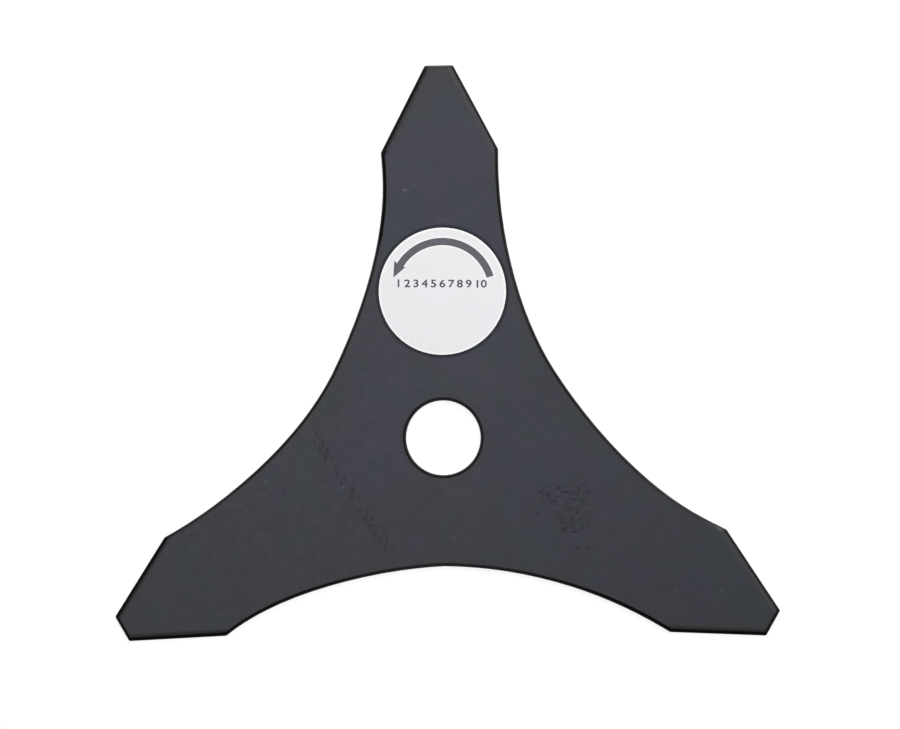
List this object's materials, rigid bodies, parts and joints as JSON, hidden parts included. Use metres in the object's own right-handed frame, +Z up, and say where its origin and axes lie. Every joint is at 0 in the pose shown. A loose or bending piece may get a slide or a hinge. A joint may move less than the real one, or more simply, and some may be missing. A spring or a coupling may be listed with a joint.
{
  "type": "brush cutter blade",
  "caption": "Flat three-arm brush cutter blade stamped from steel sheet, with a round arbor bore, ground edges at the arm ends and a round sticker on one arm.",
  "frame": {"origin": "centre of the arbor bore, on the underside that lies on the ground", "axes": "+Z up along the bore, out of the face with the ground edges and the sticker; +Y along the arm that carries the sticker; +X to the right of it"},
  "size_m": [0.2254, 0.1953, 0.0017],
  "materials": {
    "dark_paint": "satin dark slate paint, fine grain",
    "label_film": "matt white self-adhesive film"
  },
  "bodies": {
    "root": {"blade": "dark_paint", "label": "label_film"}
  },
  "joints": []
}
